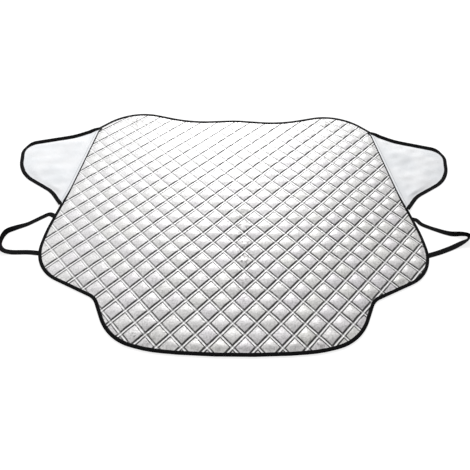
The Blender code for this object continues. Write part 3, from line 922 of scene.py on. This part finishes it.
def cloth_material(flap, crinkle, weave):
    """Thin coated cloth of the flaps, with painted shade along its hem's fold."""
    made, graph, shader = new_material("pale_cloth", Roughness=0.55, Sheen_Weight=0.15, Sheen_Roughness=0.4)
    place = graph.place()
    threads = graph.group(weave, Vector=place, Along=900.0, Across=900.0)
    folds = graph.group(crinkle, Vector=place, Scale=45.0, Depth=2.5)
    patch = graph.ramp(graph.noise(place, 9.0, 2.0), 0.35, 0.65)
    tone = graph.darken((*flap.cloth, 1), patch, (0.62, 0.70, 0.76), 0.16)
    tone = graph.darken(tone, threads["Shade"], (0.4, 0.4, 0.4), 0.06)
    away = graph.attribute("hem_away")
    # Painted shade along the hem's fold line, and at the hem's edge where the fold stands up
    fold_off = graph.math("ABSOLUTE", graph.math("SUBTRACT", away, flap.hem_fold))
    tone = graph.darken(tone, graph.ramp(fold_off, 0.0006, 0.0030, 1.0, 0.0), HEM_SHADE, 0.45)
    tone = graph.darken(tone, graph.ramp(away, 0.0, 0.0030, 0.35, 0.0), HEM_SHADE)
    graph.feed(shader.inputs["Base Color"], tone)
    height = graph.math("MULTIPLY_ADD", threads["Height"], 0.15, folds["Height"])
    bumped(graph, shader, height, 0.0005, 0.6)
    return made


def thread_material(name, base):
    """Spun sewing thread."""
    made, graph, shader = new_material(name, Roughness=0.6)
    fuzz = graph.noise(graph.place(), 1500.0, 1.0)
    tone = graph.darken((*base, 1), fuzz, (0.35, 0.35, 0.35), 0.5)
    graph.feed(shader.inputs["Base Color"], tone)
    bumped(graph, shader, fuzz, 0.0001)
    return made


def shared(name, make, *values):
    """The node tree or material of this name, made when it is first asked for."""
    found = bpy.data.node_groups.get(name) or bpy.data.materials.get(name)
    return found or make(*values)


def crinkle():
    return shared("crinkle", crinkle_group)


def weave():
    return shared("weave", weave_group)


# Pieces

def under_straps(points):
    """How much each point is lifted by the strap ends under the hem, from 0 to 1."""
    strap = settings().strap
    lifted = np.zeros(len(points))
    for line in strap_lines().values():
        for end, outer in ((line[0, :2], line[1, :2]), (line[-1, :2], line[-2, :2])):
            along = (outer - end) / np.linalg.norm(outer - end)
            arm = points - end
            far = np.abs(arm @ (-along[1], along[0])) - strap.width / 2
            run = arm @ along
            beside = 1 - smoothstep(far, *LIFT_BESIDE)
            lifted = np.maximum(lifted, beside * smoothstep(run, *LIFT_BEHIND) * (run < LIFT_ALONG))
    return lifted


def strap_lines():
    """Each strap's line of (across, up the panel, turn in degrees), from tucked end to tucked end."""
    tuck = settings().strap.tuck
    outline = panel_outline()
    lines = {}
    for side, route in STRAP_ROUTES.items():
        points = np.array([(*beyond_edge(reach, up, outline), turn) for reach, up, turn in route], float)
        points *= (SIDES[side], 1, SIDES[side])
        first = points[0, :2] - points[1, :2]
        last = points[-1, :2] - points[-2, :2]
        start = points[0, :2] + first / np.linalg.norm(first) * tuck
        end = points[-1, :2] + last / np.linalg.norm(last) * tuck
        lines[side] = smoothed(np.array([(*start, 0), *points, (*end, 0)]), STRAP_STEPS)
    return lines


def flat_quilt(quilt, tape):
    """The panel's top laid flat, before its diamonds rise: a fine lattice trimmed to the hem, and the hem."""
    edge, lap = tape.thickness + GAP, tape.width + GAP
    hem_line = panel_outline()
    hem_line = hem_line + inward_normals(hem_line) * edge
    crossing = np.array(LATTICE_CROSSING) - (0, HALF_DEPTH)
    half = quilt.needle_gap / 2
    offsets = [-half, 0, *(half + (quilt.pitch - 2 * half) * s for s in (0, *CELL_SHARES))]
    lines = math.ceil(np.linalg.norm(hem_line - crossing, axis=1).max() / quilt.pitch) + 1
    ruler = np.array([line * quilt.pitch + off for line in range(-lines, lines) for off in offsets])
    rising, falling = (grid.ravel() for grid in np.meshgrid(ruler, ruler, indexing="ij"))
    flat = crossing + np.stack([rising - falling, rising + falling], axis=1) / math.sqrt(2)
    up_right, down_right = (quilt.pitch * (base + flat @ np.array(slope)) for base, slope in SEAM_DRIFTS)
    flat += np.stack([up_right + down_right, up_right - down_right], axis=1) / math.sqrt(2)
    for axis, seeds in enumerate(WANDER_SEEDS):
        flat[:, axis] += sum(far * wander(flat, wave, seed) for (far, wave), seed in zip(WANDERS, seeds))

    near = (np.abs(flat) < np.abs(hem_line).max(axis=0) + quilt.pitch / 4).all(axis=1)
    inside, nearest = np.full(len(flat), -1.0), flat.copy()
    inside[near], nearest[near], _ = nearest_on(flat[near], hem_line)
    size = len(ruler)
    ids = np.arange(size * size).reshape(size, size)
    quads = np.stack([ids[:-1, :-1], ids[1:, :-1], ids[1:, 1:], ids[:-1, 1:]], axis=2).reshape(-1, 4)
    quads = quads[(inside[quads] > 0).any(axis=1)]
    used = np.unique(quads)
    fresh = np.full(len(flat), -1)
    fresh[used] = np.arange(len(used))
    outside = used[inside[used] < 0]
    flat[outside], inside[outside] = nearest[outside], 0

    mesh = bpy.data.meshes.new("quilted_panel_top")
    places = np.column_stack([flat[used], np.full(len(used), HEM_HIGH)])
    mesh.from_pydata(places.tolist(), [], fresh[quads].tolist())
    lattice = np.column_stack([rising, falling, inside])[used]
    put_attribute(mesh, "lattice", "FLOAT_VECTOR", "POINT", lattice)
    crumple = np.zeros(len(used))
    for x, y, wide, tall, strength in CRUMPLES:
        arm = (flat[used] - (x, y - HALF_DEPTH)) / (wide, tall)
        crumple = np.maximum(crumple, strength * np.exp(-(arm**2).sum(axis=1)))
    put_attribute(mesh, "crumple", "FLOAT", "POINT", crumple)
    put_attribute(mesh, "top", "BOOLEAN", "POINT", np.ones(len(used), bool))
    column = np.arange(size) % len(offsets)
    on_needle = (column == 0) | (column == 2)
    sewn = inside > lap
    every = np.ones(size, bool)
    rows = {"falling_rows": np.outer(on_needle, every), "rising_rows": np.outer(every, on_needle)}
    for name, chosen in rows.items():
        put_attribute(mesh, name + "_points", "BOOLEAN", "POINT", (chosen.ravel() & sewn)[used])
    return mesh, hem_line


def close_quilt(mesh, hem_line, tape):
    """Adds the rim and the underside to the flat top."""
    edge, lap = tape.thickness + GAP, tape.width + GAP
    shape = bmesh.new()
    shape.from_mesh(mesh)
    rim = [v for v in shape.verts if v.is_boundary]
    bmesh.ops.remove_doubles(shape, verts=rim, dist=RIM_MERGE)
    top = shape.verts.layers.bool["top"]
    under = shape.faces.layers.bool.new("underside")
    edges = [e for e in shape.edges if e.is_boundary]
    rings = ((0.0, HEM_LOW), (lap - edge, HEM_LOW), (lap - edge + HEM_LOW, 0.0), (lap + RIM_FLAT, 0.0))
    for reach, up in rings:
        made = bmesh.ops.extrude_edge_only(shape, edges=edges)["geom"]
        verts = [item for item in made if isinstance(item, bmesh.types.BMVert)]
        flat = np.array([v.co[:2] for v in verts])
        _, nearest, normal = nearest_on(flat, hem_line)
        places = nearest + normal * reach
        lifted = under_straps(places) * (settings().strap.thickness + GAP)
        for vertex, place, lift in zip(verts, places, lifted):
            vertex.co = (*place, up + (lift if reach < lap + RIM_FLAT else 0))
            vertex[top] = False
        for face in [item for item in made if isinstance(item, bmesh.types.BMFace)]:
            face[under] = True
        edges = [e for e in shape.edges if e.is_boundary]
    for face in bmesh.ops.edgeloop_fill(shape, edges=edges)["faces"]:
        face[under] = True
    bmesh.ops.recalc_face_normals(shape, faces=shape.faces)
    closed = bpy.data.meshes.new("quilted_panel")
    shape.to_mesh(closed)
    shape.free()
    return closed


class QuiltedPanelOperator(bpy.types.Operator):
    """Build the quilted panel"""

    bl_idname = "windscreen_cover.quilted_panel"
    bl_label = "Quilted Panel"

    def execute(self, context):
        quilt, tape = settings().quilt, settings().tape
        flat, hem_line = flat_quilt(quilt, tape)
        panel = mesh_object("silver_quilting", close_quilt(flat, hem_line, tape))
        values = {
            "Stitch Pitch": quilt.pitch, "Needle Gap": quilt.needle_gap, "Seam Height": quilt.seam_height,
            "Puff Rise": quilt.puff_rise, "Channel Rise": quilt.channel_rise, "Wave Rise": quilt.wave_rise,
            "Crumple Rise": quilt.crumple_rise, "Hem Height": HEM_HIGH, "Hem Width": tape.width,
            "Pinch Width": quilt.pinch, "Seed": QUILT_SEED,
            "Film": film_material(quilt, crinkle()), "Backing": backing_material(quilt, weave()),
        }
        apply_tree(panel, quilting_tree(), values)
        for name in ("rising_rows", "falling_rows"):
            chosen = np.empty(len(panel.data.vertices), bool)
            panel.data.attributes[name + "_points"].data.foreach_get("value", chosen)
            panel.data.attributes.remove(panel.data.attributes[name + "_points"])
            mark_rows(panel.data, name, chosen)
        set_smooth(panel.data)
        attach(panel, "root")
        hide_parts("quilted_panel")
        return {"FINISHED"}


def flap_parts(outline, flap, tape):
    """The right flap's free edge, its inward normals, hem points and lifts, foot to head."""
    foot, head = (beyond_edge(*end, outline) for end in (FLAP_FOOT, FLAP_HEAD))
    between = [(*beyond_edge(reach, up, outline), radius) for reach, up, radius in reversed(FLAP_CORNERS)]
    line = rounded([(*foot, 0), *between, (*head, 0)], closed=False)
    edge = split(line, tape.step, closed=False)
    inward = inward_normals(edge, closed=False)
    run = np.concatenate([[0], np.cumsum(np.linalg.norm(np.diff(edge, axis=0), axis=1))])
    low, high = FLAP_FOOT[1] + flap.hem_inset, FLAP_HEAD[1] - flap.hem_inset
    ups = low + run / run[-1] * (high - low)
    grown = np.clip((ups - low) / flap.lap_growth, 0, 1)
    laps = flap.foot_lap + grown * (flap.lap - flap.foot_lap)
    hem = np.array([beyond_edge(-lap, up, outline) for lap, up in zip(laps, ups)])
    rims = (edge, edge + inward * tape.flap_width)
    lifts = np.maximum(*(flap_lift(rim, outline, flap) for rim in rims))
    return edge, inward, hem, lifts


def flap_lift(points, outline, flap):
    """How high the flap's underside lies: on the panel's tape, or down on the floor beyond it."""
    outside = -nearest_on(points, outline)[0]
    return flap.lift * np.clip((flap.ramp_end - outside) / (flap.ramp_end - flap.ramp_start), 0, 1)


def far_edge(inward):
    """From 0 to 1, how far each point of an edge faces the roof's way, where a tape is loosest."""
    return smoothstep(-inward[:, 1], 0.4, 0.9)


def flap_curl(edge, inward, flap):
    """How far each point of the flap's free edge curls up: on its far edge, but not where it is sewn on."""
    sewn_on = np.linalg.norm(edge - edge[-1], axis=1)
    return flap.curl * far_edge(inward) * smoothstep(sewn_on, 0.0, CURL_FADE)


def tape_skin(name, edge, inward, lifts, section, closed, sides=1, broader=0.0, curls=None):
    """Folds a tape along an edge. Its width wavers, as sewn tape does, and its outer edge may curl up."""
    curls = np.zeros(len(edge)) if curls is None else curls
    waver = 1 + 0.035 * wander(edge, 0.06, 11) + 0.02 * wander(edge, 0.017, 12)
    waver += broader * far_edge(inward)
    swell = 1 + 0.05 * wander(edge, 0.04, 13)
    sections = []
    outer = np.clip(1 - section[:, 0] / section[:, 0].max(), 0, 1)
    for point, normal, lift, wide, tall, curl in zip(edge, inward, lifts, waver, swell, curls):
        across = section[:, 0] * np.where(section[:, 0] > TAPE_FOLD, wide, 1)
        flat = point + across[:, None] * normal
        sections.append(np.column_stack([flat, lift + section[:, 1] * tall + outer * curl]))
    sections = np.array(sections)
    sections[:, :, 0] *= sides
    return skin(name, sections, closed)


class BindingsOperator(bpy.types.Operator):
    """Build the tapes round the panel and the flaps"""

    bl_idname = "windscreen_cover.bindings"
    bl_label = "Bindings"

    def execute(self, context):
        tape, flap, strap = settings().tape, settings().flap, settings().strap
        finish = woven_material(
            "black_tape", tape.colour, weave(), along=520.0, across=900.0, roughness=0.70
        )
        outline = panel_outline(tape.step)
        section = tape_section(tape.width, HEM_HIGH + GAP + tape.thickness, tape.thickness)
        inward, lifts = inward_normals(outline), np.zeros(len(outline))
        panel_tape = tape_skin(
            "panel_tape", outline, inward, lifts, section, closed=True, broader=BROADER["panel"]
        )
        places = np.array([v.co for v in panel_tape.data.vertices])
        low = places[:, 2] < HEM_LOW
        places[low, 2] += under_straps(places[low, :2]) * (strap.thickness + GAP)
        panel_tape.data.vertices.foreach_set("co", places.ravel())
        self.dress(panel_tape, "panel_binding", finish, len(section))

        edge, inward, _, lifts = flap_parts(panel_outline(), flap, tape)
        height = flap.thickness + 2 * (tape.flap_thickness + GAP)
        section = tape_section(tape.flap_width, height, tape.flap_thickness)
        for side, sign in SIDES.items():
            made = tape_skin(
                side + "_flap_tape", edge, inward, lifts, section, closed=False, sides=sign,
                broader=BROADER["flap"], curls=flap_curl(edge, inward, flap),
            )
            self.dress(made, side + "_flap_binding", finish, len(section))
        return {"FINISHED"}

    def dress(self, piece, node, finish, around):
        piece.data.materials.append(finish)
        mark_rows(piece.data, "tape_rows", np.arange(len(piece.data.vertices)) % around == NEEDLE_COLUMN)
        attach(piece, "root")
        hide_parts(node)


class DoorFlapsOperator(bpy.types.Operator):
    """Build the door flaps of thin cloth"""

    bl_idname = "windscreen_cover.door_flaps"
    bl_label = "Door Flaps"

    def execute(self, context):
        flap, tape = settings().flap, settings().tape
        finish = cloth_material(flap, crinkle(), weave())
        outline = panel_outline()
        edge, inward, hem, lifts = flap_parts(outline, flap, tape)
        over, lengths = self.cloth(edge, inward, hem, lifts, outline)
        for side, sign in SIDES.items():
            top = over.copy()
            top[:, :, 2] += self.waves(over, lengths, sign)
            under = top[:, ::-1] - (0, 0, flap.thickness)
            still = over[:, ::-1, 2] - flap.thickness
            bends = len(HEM_BENDS)
            under[:, :bends, 2] = np.minimum(under[:, :bends, 2], still[:, :bends])
            sections = np.concatenate([top, under], axis=1)
            sections[:, :, 0] *= sign
            made = skin(side + "_flap_cloth", sections, False)
            away = np.linalg.norm(top[:, :, :2] - hem[:, None], axis=2)
            away = np.concatenate([away, away[:, ::-1]], axis=1)
            put_attribute(made.data, "hem_away", "FLOAT", "POINT", away)
            made.data.materials.append(finish)
            around = sections.shape[1]
            row = top.shape[1] - HEM_SEWN
            mark_rows(made.data, "hem_rows", np.arange(len(made.data.vertices)) % around == row)
            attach(made, "root")
            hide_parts(side + "_door_flap")
        return {"FINISHED"}

    def cloth(self, edge, inward, hem, lifts, outline):
        """The flap's upper side from inside its tape to its folded inner hem, and how far that is."""
        flap, tape = settings().flap, settings().tape
        above = tape.flap_thickness + GAP
        tucked = edge + inward * above
        free = edge + inward * (tape.flap_width + GAP)
        arm = hem - free
        lengths = np.linalg.norm(arm, axis=1)
        fold = flap.hem_fold * np.minimum(1, lengths / (3 * flap.hem_fold))
        shares = [1 - fold / lengths * bend for bend in HEM_BENDS]
        columns = [tucked, free]
        for step in range(1, CLOTH_STEPS):
            columns.append(free + arm * (shares[0] * step / CLOTH_STEPS)[:, None])
        columns += [free + arm * share[:, None] for share in shares]
        flat = np.stack(columns, axis=1)
        lift = flap_lift(flat.reshape(-1, 2), outline, flap).reshape(flat.shape[:2])
        lift[:, :2] = lifts[:, None]  # inside the tape
        up = lift + above + flap.thickness
        up[:, 1 - len(HEM_BENDS):-1] += HEM_RISES
        up[:, 0] += flap_curl(edge, inward, flap)
        return np.concatenate([flat, up[:, :, None]], axis=2), lengths

    def waves(self, over, lengths, sign):
        """How far the soft waves lift the cloth, away from its tape and hem."""
        flat = over[:, :, :2].reshape(-1, 2)
        long, short = (wander(flat, wave, seed + sign) for wave, seed in zip(FLAP_WAVES, (20, 30)))
        roll = 0.5 + 0.5 * long + 0.25 * short
        shares = np.clip((np.arange(over.shape[1]) - 1) / CLOTH_STEPS, 0, 1)
        reach = shares * lengths[:, None]
        back = (1 - shares) * lengths[:, None]
        mask = smoothstep(reach, 0.0, WAVE_FADE) * smoothstep(back, 0.0, WAVE_FADE)
        return settings().flap.wave_rise * np.clip(roll, 0, 1.3).reshape(mask.shape) * mask


class MirrorStrapsOperator(bpy.types.Operator):
    """Build the webbing straps that loop over the door mirrors"""

    bl_idname = "windscreen_cover.mirror_straps"
    bl_label = "Mirror Straps"

    def execute(self, context):
        strap = settings().strap
        finish = woven_material(
            "black_webbing", strap.colour, weave(), along=420.0, across=560.0, roughness=0.62
        )
        for side, line in strap_lines().items():
            made = skin(side + "_webbing", self.sections(line), False)
            made.data.materials.append(finish)
            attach(made, "root")
            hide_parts(side + "_mirror_strap")
        return {"FINISHED"}

    def sections(self, line):
        """The webbing's ribbed section at each point of its line, turned about its length."""
        strap = settings().strap
        turns = np.radians(line[:, 2])
        half, thin = strap.width / 2, strap.thickness / 2
        across = np.linspace(-1, 1, RIB_POINTS)
        ribs = np.where(np.arange(RIB_POINTS) % 4 == 2, strap.rib_depth, 0)
        ribs[[0, -1]] = thin * 0.55
        over = np.stack([across * half, thin - ribs], axis=1)
        profile = np.concatenate([over, over[::-1] * (1, -1)])
        along = np.gradient(line[:, :2], axis=0)
        along /= np.linalg.norm(along, axis=1)[:, None]
        sections = []
        for (x, y, _), way, turn in zip(line, along, turns):
            right = np.array((way[1], -way[0]))
            side = profile[:, 0] * math.cos(turn) + profile[:, 1] * math.sin(turn)
            up = profile[:, 1] * math.cos(turn) - profile[:, 0] * math.sin(turn)
            middle = half * abs(math.sin(turn)) + thin * abs(math.cos(turn))
            flat = np.array((x, y)) + side[:, None] * right
            sections.append(np.column_stack([flat, middle + up]))
        return sections


class StitchingOperator(bpy.types.Operator):
    """Sew the diamonds, the tapes and the flaps' hems"""

    bl_idname = "windscreen_cover.stitching"
    bl_label = "Stitching"

    def execute(self, context):
        thread = settings().thread
        tree = stitching_tree()
        grey = thread_material("quilting_thread", thread.quilting)
        black = thread_material("tape_thread", thread.black)
        pale = thread_material("hem_thread", thread.pale)
        rows = [
            ("silver_quilting", "rising_rows", thread.quilt_stitch, grey, "silver_film"),
            ("silver_quilting", "falling_rows", thread.quilt_stitch, grey, "silver_film"),
            ("panel_tape", "tape_rows", thread.tape_stitch, black, "black_tape"),
        ]
        for side in SIDES:
            rows.append((side + "_flap_tape", "tape_rows", thread.tape_stitch, black, "black_tape"))
            rows.append((side + "_flap_cloth", "hem_rows", thread.tape_stitch, pale, "pale_cloth"))
        for seed, (piece, row, step, finish, slot) in enumerate(rows):
            sewn = bpy.data.objects[piece]
            made = mesh_object(f"{piece}_{row.replace('rows', 'thread')}", sewn.data.copy())
            values = {
                "Rows": row, "Stitch Length": step, "Thread Width": thread.width,
                "Seed": seed, "Thread": finish,
            }
            apply_tree(made, tree, values)
            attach(made, "root")
        return {"FINISHED"}


# Studio

def area_light(name, power, place, aim, wide, tall):
    lamp = bpy.data.lights.new(name, "AREA")
    lamp.shape, lamp.size, lamp.size_y, lamp.energy = "RECTANGLE", wide, tall, power
    made = bpy.data.objects.new(name, lamp)
    bpy.context.scene.collection.objects.link(made)
    made.location = place
    made.rotation_euler = (Vector(aim) - Vector(place)).to_track_quat("-Z", "Y").to_euler()


def seen_rays(graph):
    """1 for rays that show the background: from the camera, and in gloss and clear things."""
    rays = graph.node("ShaderNodeLightPath").outputs
    seen = graph.math("MAXIMUM", rays["Is Camera Ray"], rays["Is Glossy Ray"])
    return graph.math("MAXIMUM", seen, rays["Is Transmission Ray"])


class StudioOperator(bpy.types.Operator):
    """Set up the floor, the light and the camera"""

    bl_idname = "windscreen_cover.studio"
    bl_label = "Studio"

    def execute(self, context):
        studio = settings().studio
        self.floor()
        self.world(studio.ambient)
        area_light("key", studio.key, *KEY_LAMP)
        area_light("fill", studio.fill, *FILL_LAMP)
        self.camera(studio.focal_pixels)
        bpy.context.scene.view_settings.view_transform = "Standard"
        return {"FINISHED"}

    def floor(self):
        mesh = bpy.data.meshes.new("floor")
        corners = ((-1, -1), (1, -1), (1, 1), (-1, 1))
        places = [(x * FLOOR_REACH, y * FLOOR_REACH, -FLOOR_DROP) for x, y in corners]
        mesh.from_pydata(places, [], [(0, 1, 2, 3)])
        made, graph, shader = new_material(
            "white_floor", Base_Color=(0.93, 0.93, 0.93), Roughness=0.95, Specular_IOR_Level=0.0
        )
        matt = graph.node("ShaderNodeBsdfDiffuse", {"Color": (0.4, 0.4, 0.4, 1)})
        glow = graph.node("ShaderNodeEmission", {"Color": (1, 1, 1, 1), "Strength": 0.75})
        pale = graph.node("ShaderNodeAddShader", {0: matt.outputs[0], 1: glow.outputs[0]})
        rays = {0: seen_rays(graph), 1: shader.outputs[0], 2: pale.outputs[0]}
        seen = graph.node("ShaderNodeMixShader", rays)
        away = graph.node("ShaderNodeVectorMath", {0: graph.place()}, operation="LENGTH").outputs["Value"]
        clear = graph.node("ShaderNodeBsdfTransparent")
        fade = {0: graph.ramp(away, *FLOOR_FADES), 1: seen.outputs[0], 2: clear.outputs[0]}
        faded = graph.node("ShaderNodeMixShader", fade)
        graph.feed(made.node_tree.nodes["Material Output"].inputs["Surface"], faded.outputs[0])
        mesh.materials.append(made)
        mesh_object("floor", mesh)

    def world(self, ambient):
        world = bpy.data.worlds.new("white_room")
        world.use_nodes = True
        graph = Graph(world.node_tree)
        background = world.node_tree.nodes["Background"]
        background.inputs["Color"].default_value = (1, 1, 1, 1)
        level = graph.math("MULTIPLY_ADD", seen_rays(graph), 1.0 - ambient, ambient)
        graph.feed(background.inputs["Strength"], level)
        bpy.context.scene.world = world

    def camera(self, focal_pixels):
        lens = bpy.data.cameras.new("camera")
        lens.sensor_width = 36.0
        lens.lens = lens.sensor_width * focal_pixels / PICTURE_WIDTH
        made = bpy.data.objects.new("camera", lens)
        bpy.context.scene.collection.objects.link(made)
        forward = Vector(CAMERA_FORWARD).normalized()
        right = Vector(CAMERA_RIGHT)
        right = (right - forward * right.dot(forward)).normalized()
        up = right.cross(forward)
        turned = Matrix((right, up, -forward)).transposed().to_4x4()
        made.matrix_world = Matrix.Translation(CAMERA_PLACE) @ turned
        bpy.context.scene.camera = made


OPERATORS = (
    QuiltedPanelOperator,
    BindingsOperator,
    DoorFlapsOperator,
    MirrorStrapsOperator,
    StitchingOperator,
    StudioOperator,
)


class WindscreenCoverPanel(bpy.types.Panel):
    """The cover's settings, and a button for each of its pieces"""

    bl_idname = "VIEW3D_PT_windscreen_cover"
    bl_label = "Windscreen Cover"
    bl_space_type = "VIEW_3D"
    bl_region_type = "UI"
    bl_category = "Windscreen Cover"

    def draw(self, context):
        for name, title in (
            ("quilt", "Quilting"), ("tape", "Tapes"), ("flap", "Door Flaps"),
            ("strap", "Mirror Straps"), ("thread", "Thread"), ("studio", "Studio"),
        ):
            box = self.layout.box()
            box.label(text=title)
            group = getattr(context.scene.windscreen_cover, name)
            for key in group.bl_rna.properties.keys():
                if key not in ("rna_type", "name"):
                    box.prop(group, key)
        for operator in OPERATORS:
            self.layout.operator(operator.bl_idname)


CLASSES = (
    QuiltSettings,
    TapeSettings,
    FlapSettings,
    StrapSettings,
    ThreadSettings,
    StudioSettings,
    CoverSettings,
    *OPERATORS,
    WindscreenCoverPanel,
)


def register():
    for item in CLASSES:
        bpy.utils.register_class(item)
    bpy.types.Scene.windscreen_cover = bpy.props.PointerProperty(type=CoverSettings)


def unregister():
    del bpy.types.Scene.windscreen_cover
    for item in reversed(CLASSES):
        bpy.utils.unregister_class(item)


def main():
    register()
    bpy.ops.windscreen_cover.quilted_panel()
    bpy.ops.windscreen_cover.bindings()
    bpy.ops.windscreen_cover.door_flaps()
    bpy.ops.windscreen_cover.mirror_straps()
    bpy.ops.windscreen_cover.stitching()
    bpy.ops.windscreen_cover.studio()


if __name__ == "__main__":
    main()
